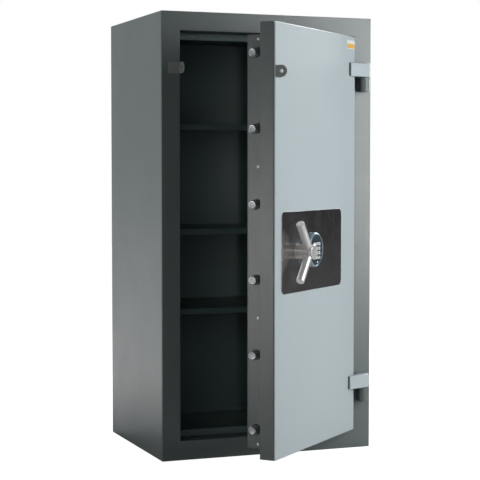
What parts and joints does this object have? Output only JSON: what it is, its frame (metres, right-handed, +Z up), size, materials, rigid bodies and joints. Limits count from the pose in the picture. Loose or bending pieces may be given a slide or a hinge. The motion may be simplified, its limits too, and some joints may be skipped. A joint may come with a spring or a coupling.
{
  "type": "free-standing safe",
  "caption": "Tall free-standing fire and burglary resistant safe with one hinged door, turn handle, keypad lock, sliding bolts and shelves.",
  "frame": {"origin": "centre of the base's underside, midway between the sides and between the front and the back of the cabinet", "axes": "+Z up, +Y from the front of the cabinet to its back, +X to the right as seen from the front"},
  "size_m": [0.7, 0.9772, 1.37],
  "materials": {
    "graphite_paint": "fine-textured semi-gloss powder coat",
    "inner_paint": "semi-gloss powder coat",
    "door_paint": "fine-textured semi-gloss powder coat",
    "lug_paint": "satin paint",
    "fire_fill": "cast fire-resistant fill, rough",
    "bolt_steel": "turned and satin plated",
    "handle_steel": "satin plated",
    "brushed_plate": "fine brushed, bright",
    "keypad_chrome": "satin chrome plated",
    "hard_steel": "hardened, dark",
    "zinc": "zinc plated",
    "bronze": "sintered bronze",
    "lock_body": "die cast, blasted",
    "seal_black": "matt",
    "cable_black": "satin jacket",
    "key_plastic": "satin moulded"
  },
  "bodies": {
    "cabinet": {"outer_sides": "graphite_paint", "outer_roof": "graphite_paint", "outer_base": "graphite_paint", "outer_back": "graphite_paint", "liner_sides": "inner_paint", "liner_roof": "inner_paint", "liner_floor": "inner_paint", "liner_back": "inner_paint", "wall_fill": "fire_fill", "frame_stile_lock": "graphite_paint", "frame_stile_hinge": "graphite_paint", "frame_rail_top": "graphite_paint", "frame_rail_bottom": "graphite_paint", "hinge_knuckles": "graphite_paint", "hinge_pins": "bolt_steel", "hinge_washers": "bronze", "shelf_top": "inner_paint", "shelf_middle": "inner_paint", "shelf_bottom": "inner_paint", "shelf_strips": "inner_paint", "shelf_clips": "zinc", "anchor_sleeves": "zinc", "seal_lug_cabinet": "lug_paint"},
    "door": {"door_panel": "door_paint", "door_tray": "graphite_paint", "door_fill": "fire_fill", "fire_seal": "seal_black", "hard_plate": "hard_steel", "bolt_housing": "graphite_paint", "housing_cover": "graphite_paint", "cover_screws": "zinc", "hinge_straps": "door_paint", "fixed_dogs": "bolt_steel", "bolt_guides": "zinc", "lock_plate": "brushed_plate", "keypad_body": "keypad_chrome", "lock_case": "lock_body", "lock_cable": "cable_black", "seal_lug_door": "lug_paint", "spindle_bush": "bronze"},
    "handle": {"handle_hub": "handle_steel", "handle_spokes": "handle_steel", "spindle_crank": "hard_steel"},
    "bolt_bar": {"lock_bar": "zinc", "side_bolts": "bolt_steel"},
    "upper_bolt": {"top_bolt": "bolt_steel"},
    "lower_bolt": {"bottom_bolt": "bolt_steel"},
    "blocker": {"lock_blocker": "bronze"},
    "button_1": {"key_1": "key_plastic"},
    "button_2": {"key_2": "key_plastic"},
    "button_3": {"key_3": "key_plastic"},
    "button_4": {"key_4": "key_plastic"},
    "button_5": {"key_5": "key_plastic"},
    "button_6": {"key_6": "key_plastic"},
    "button_7": {"key_7": "key_plastic"},
    "button_8": {"key_8": "key_plastic"},
    "button_9": {"key_9": "key_plastic"},
    "button_star": {"key_star": "key_plastic"},
    "button_0": {"key_0": "key_plastic"},
    "button_hash": {"key_hash": "key_plastic"}
  },
  "joints": [
    {"name": "door_hinge", "type": "hinge", "parent": "cabinet", "child": "door", "pos_m": [0.3184, -0.2915, 0.65], "axis": [0, 0, 1], "range_deg": [-41.6, 128.4]},
    {"name": "handle_turn", "type": "hinge", "parent": "door", "child": "handle", "pos_m": [-0.04299, -0.58695, 0.655], "axis": [0.6639, -0.7478, 0], "range_deg": [0, 60]},
    {"name": "bolt_bar_slide", "type": "slide", "parent": "door", "child": "bolt_bar", "axis": [-0.7478, -0.6639, 0], "range_m": [0, 0.022]},
    {"name": "upper_bolt_slide", "type": "slide", "parent": "door", "child": "upper_bolt", "axis": [0, 0, 1], "range_m": [0, 0.022]},
    {"name": "lower_bolt_slide", "type": "slide", "parent": "door", "child": "lower_bolt", "axis": [0, 0, -1], "range_m": [0, 0.022]},
    {"name": "blocker_slide", "type": "slide", "parent": "door", "child": "blocker", "axis": [0, 0, 1], "range_m": [0, 0.012]},
    {"name": "button_1_press", "type": "slide", "parent": "door", "child": "button_1", "axis": [-0.6639, 0.7478, 0], "range_m": [0, 0.0012], "stiffness_N_per_m": 400},
    {"name": "button_2_press", "type": "slide", "parent": "door", "child": "button_2", "axis": [-0.6639, 0.7478, 0], "range_m": [0, 0.0012], "stiffness_N_per_m": 400},
    {"name": "button_3_press", "type": "slide", "parent": "door", "child": "button_3", "axis": [-0.6639, 0.7478, 0], "range_m": [0, 0.0012], "stiffness_N_per_m": 400},
    {"name": "button_4_press", "type": "slide", "parent": "door", "child": "button_4", "axis": [-0.6639, 0.7478, 0], "range_m": [0, 0.0012], "stiffness_N_per_m": 400},
    {"name": "button_5_press", "type": "slide", "parent": "door", "child": "button_5", "axis": [-0.6639, 0.7478, 0], "range_m": [0, 0.0012], "stiffness_N_per_m": 400},
    {"name": "button_6_press", "type": "slide", "parent": "door", "child": "button_6", "axis": [-0.6639, 0.7478, 0], "range_m": [0, 0.0012], "stiffness_N_per_m": 400},
    {"name": "button_7_press", "type": "slide", "parent": "door", "child": "button_7", "axis": [-0.6639, 0.7478, 0], "range_m": [0, 0.0012], "stiffness_N_per_m": 400},
    {"name": "button_8_press", "type": "slide", "parent": "door", "child": "button_8", "axis": [-0.6639, 0.7478, 0], "range_m": [0, 0.0012], "stiffness_N_per_m": 400},
    {"name": "button_9_press", "type": "slide", "parent": "door", "child": "button_9", "axis": [-0.6639, 0.7478, 0], "range_m": [0, 0.0012], "stiffness_N_per_m": 400},
    {"name": "button_star_press", "type": "slide", "parent": "door", "child": "button_star", "axis": [-0.6639, 0.7478, 0], "range_m": [0, 0.0012], "stiffness_N_per_m": 400},
    {"name": "button_0_press", "type": "slide", "parent": "door", "child": "button_0", "axis": [-0.6639, 0.7478, 0], "range_m": [0, 0.0012], "stiffness_N_per_m": 400},
    {"name": "button_hash_press", "type": "slide", "parent": "door", "child": "button_hash", "axis": [-0.6639, 0.7478, 0], "range_m": [0, 0.0012], "stiffness_N_per_m": 400}
  ],
  "couplings": [
    {"joint": "bolt_bar_slide", "follows": "handle_turn", "m_per_rad": 0.021},
    {"joint": "upper_bolt_slide", "follows": "handle_turn", "m_per_rad": 0.021},
    {"joint": "lower_bolt_slide", "follows": "handle_turn", "m_per_rad": 0.021}
  ]
}
